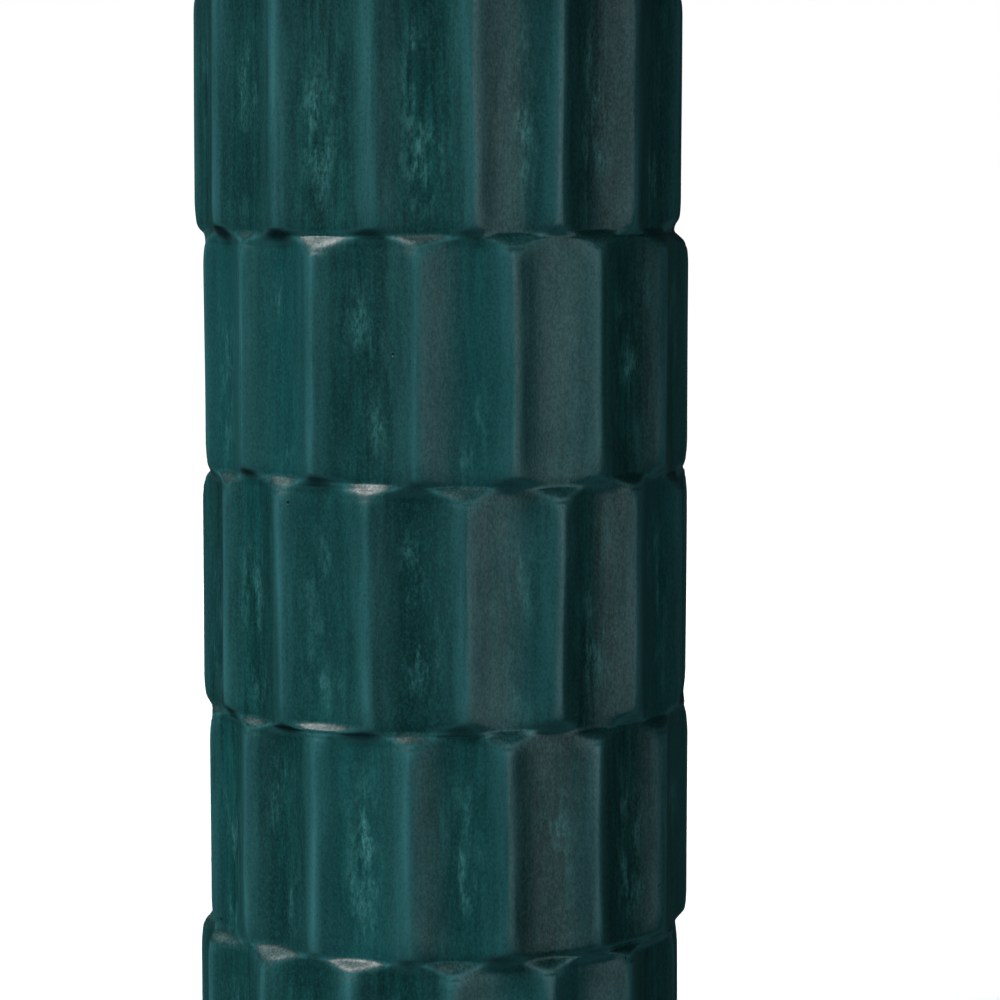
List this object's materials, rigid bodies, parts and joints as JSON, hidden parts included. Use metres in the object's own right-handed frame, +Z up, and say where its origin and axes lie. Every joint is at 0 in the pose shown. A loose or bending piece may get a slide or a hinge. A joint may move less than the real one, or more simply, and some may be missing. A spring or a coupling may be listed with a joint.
{
  "type": "vase",
  "caption": "tall straight-sided stoneware vase, its wall built up in stacked rings carved with staggered rows of upright concave flutes, satin teal glaze, bare turned foot",
  "frame": {"origin": "centre of the foot's underside, on the surface the vase stands on", "axes": "+Z up along the vase's axis, -Y towards the front"},
  "size_m": [0.1211, 0.1194, 0.365],
  "materials": {
    "teal_glaze": "satin teal glaze, thin and lighter on the ridges, with pale vertical streaks and a few pinholes",
    "bare_stoneware": "unglazed fired stoneware, fine grog, matt"
  },
  "bodies": {
    "root": {"foot_ring": "bare_stoneware", "base_slab": "teal_glaze", "wall_course_1": "teal_glaze", "wall_course_2": "teal_glaze", "wall_course_3": "teal_glaze", "wall_course_4": "teal_glaze", "wall_course_5": "teal_glaze", "wall_course_6": "teal_glaze", "rim_band": "teal_glaze"}
  },
  "joints": []
}
